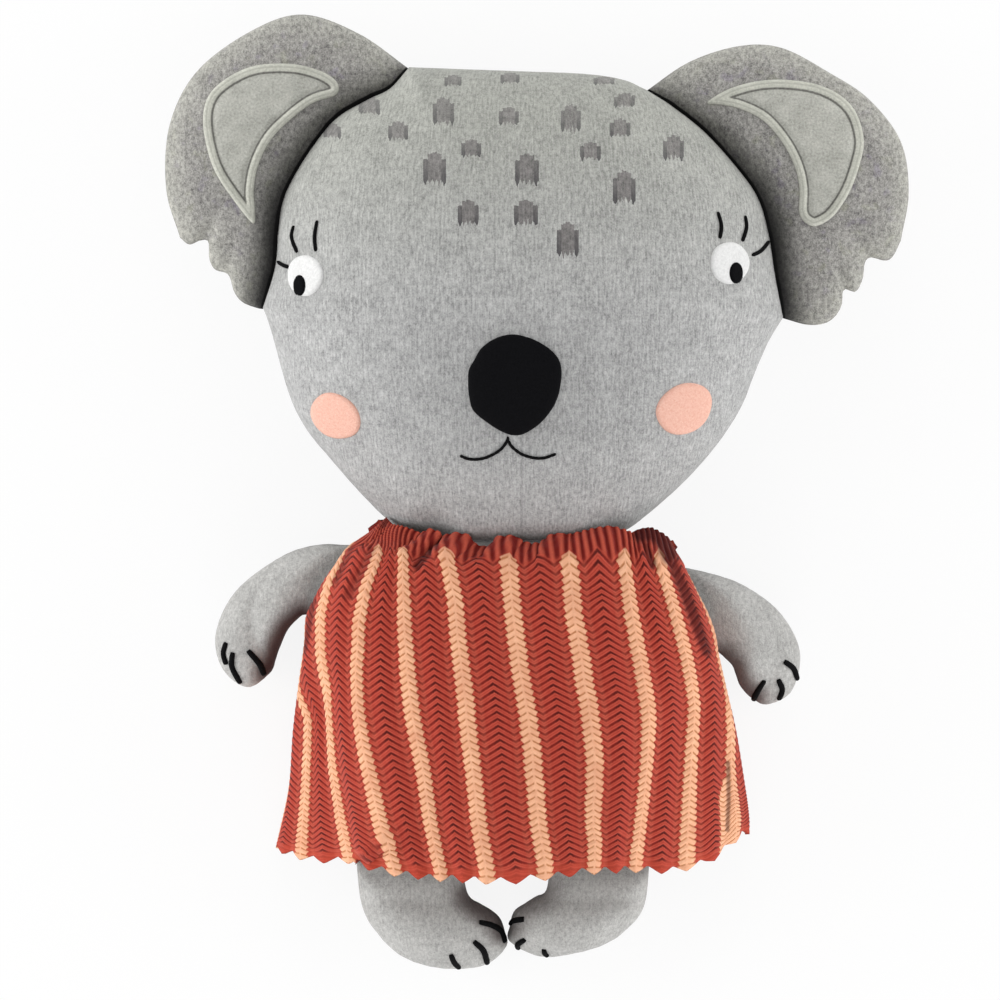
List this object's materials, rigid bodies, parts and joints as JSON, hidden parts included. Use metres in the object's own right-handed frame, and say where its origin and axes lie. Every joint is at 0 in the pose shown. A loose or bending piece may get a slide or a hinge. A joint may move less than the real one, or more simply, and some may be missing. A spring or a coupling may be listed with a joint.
{
  "type": "koala cushion",
  "caption": "Stuffed koala cushion in grey knit with stitched face, round patched ears, short limbs and a gathered striped knitted dress.",
  "frame": {"origin": "middle of the toy's outline, on the surface that it lies on", "axes": "+Z out of the face and the tummy, +Y from the feet to the crown, +X to the right of someone who looks down at the face"},
  "size_m": [0.3502, 0.4486, 0.1061],
  "materials": {
    "grey_knit": "heather grey jersey knit",
    "dark_grey_knit": "darker heather grey jersey knit",
    "pale_grey_knit": "pale heather grey jersey knit",
    "black_cloth": "short black pile",
    "white_cloth": "white felt",
    "pink_cloth": "soft pink felt",
    "black_thread": "black embroidery thread",
    "dark_grey_thread": "dark grey sewing thread",
    "striped_knit": "rust and peach zigzag knit",
    "stuffing": "polyester fibre fill",
    "elastic": "covered elastic cord"
  },
  "bodies": {
    "torso": {"body_front": "grey_knit", "body_back": "grey_knit", "body_stuffing": "stuffing", "dress_front": "striped_knit", "dress_back": "striped_knit", "neck_elastic": "elastic"},
    "head": {"head_front": "grey_knit", "head_back": "grey_knit", "head_stuffing": "stuffing", "nose": "black_cloth", "left_eye": "white_cloth", "right_eye": "white_cloth", "left_pupil": "black_cloth", "right_pupil": "black_cloth", "left_cheek": "pink_cloth", "right_cheek": "pink_cloth", "mouth_stitch_left": "black_thread", "mouth_stitch_right": "black_thread", "left_lash_1": "black_thread", "left_lash_2": "black_thread", "left_lash_3": "black_thread", "right_lash_1": "black_thread", "right_lash_2": "black_thread", "right_lash_3": "black_thread"},
    "left_ear": {"left_ear_front": "dark_grey_knit", "left_ear_back": "dark_grey_knit", "left_ear_stuffing": "stuffing", "left_ear_patch": "pale_grey_knit", "left_ear_topstitch": "dark_grey_thread"},
    "right_ear": {"right_ear_front": "dark_grey_knit", "right_ear_back": "dark_grey_knit", "right_ear_stuffing": "stuffing", "right_ear_patch": "pale_grey_knit", "right_ear_topstitch": "dark_grey_thread"},
    "left_arm": {"left_arm_front": "grey_knit", "left_arm_back": "grey_knit", "left_arm_stuffing": "stuffing", "left_arm_claw_1": "black_thread", "left_arm_claw_2": "black_thread", "left_arm_claw_3": "black_thread"},
    "right_arm": {"right_arm_front": "grey_knit", "right_arm_back": "grey_knit", "right_arm_stuffing": "stuffing", "right_arm_claw_1": "black_thread", "right_arm_claw_2": "black_thread", "right_arm_claw_3": "black_thread"},
    "left_leg": {"left_leg_front": "grey_knit", "left_leg_back": "grey_knit", "left_leg_stuffing": "stuffing", "left_leg_claw_1": "black_thread", "left_leg_claw_2": "black_thread", "left_leg_claw_3": "black_thread"},
    "right_leg": {"right_leg_front": "grey_knit", "right_leg_back": "grey_knit", "right_leg_stuffing": "stuffing", "right_leg_claw_1": "black_thread", "right_leg_claw_2": "black_thread", "right_leg_claw_3": "black_thread"}
  },
  "joints": [
    {"name": "neck_nod", "type": "hinge", "parent": "torso", "child": "head", "pos_m": [-0.0067, -0.02266, 0.038], "axis": [1, 0, 0], "range_deg": [0, 10], "stiffness_Nm_per_rad": 1},
    {"name": "left_ear_bend", "type": "hinge", "parent": "head", "child": "left_ear", "pos_m": [-0.1119, 0.1542, 0.038], "axis": [0.5189, 0.8548, 0], "range_deg": [-10, 20], "stiffness_Nm_per_rad": 0.3},
    {"name": "right_ear_bend", "type": "hinge", "parent": "head", "child": "right_ear", "pos_m": [0.0994, 0.1457, 0.038], "axis": [0.5151, -0.8571, 0], "range_deg": [-10, 20], "stiffness_Nm_per_rad": 0.3},
    {"name": "left_arm_lift", "type": "hinge", "parent": "torso", "child": "left_arm", "pos_m": [-0.09647, -0.0405, 0.038], "axis": [0.4988, 0.8667, 0], "range_deg": [0, 60], "stiffness_Nm_per_rad": 0.05},
    {"name": "right_arm_lift", "type": "hinge", "parent": "torso", "child": "right_arm", "pos_m": [0.0762, -0.0537, 0.038], "axis": [0.399, -0.917, 0], "range_deg": [0, 60], "stiffness_Nm_per_rad": 0.05},
    {"name": "left_leg_lift", "type": "hinge", "parent": "torso", "child": "left_leg", "pos_m": [-0.06065, -0.18456, 0.038], "axis": [-1, 0, 0], "range_deg": [0, 50], "stiffness_Nm_per_rad": 0.1},
    {"name": "right_leg_lift", "type": "hinge", "parent": "torso", "child": "right_leg", "pos_m": [0.02955, -0.18456, 0.038], "axis": [-1, 0, 0], "range_deg": [0, 50], "stiffness_Nm_per_rad": 0.1}
  ]
}
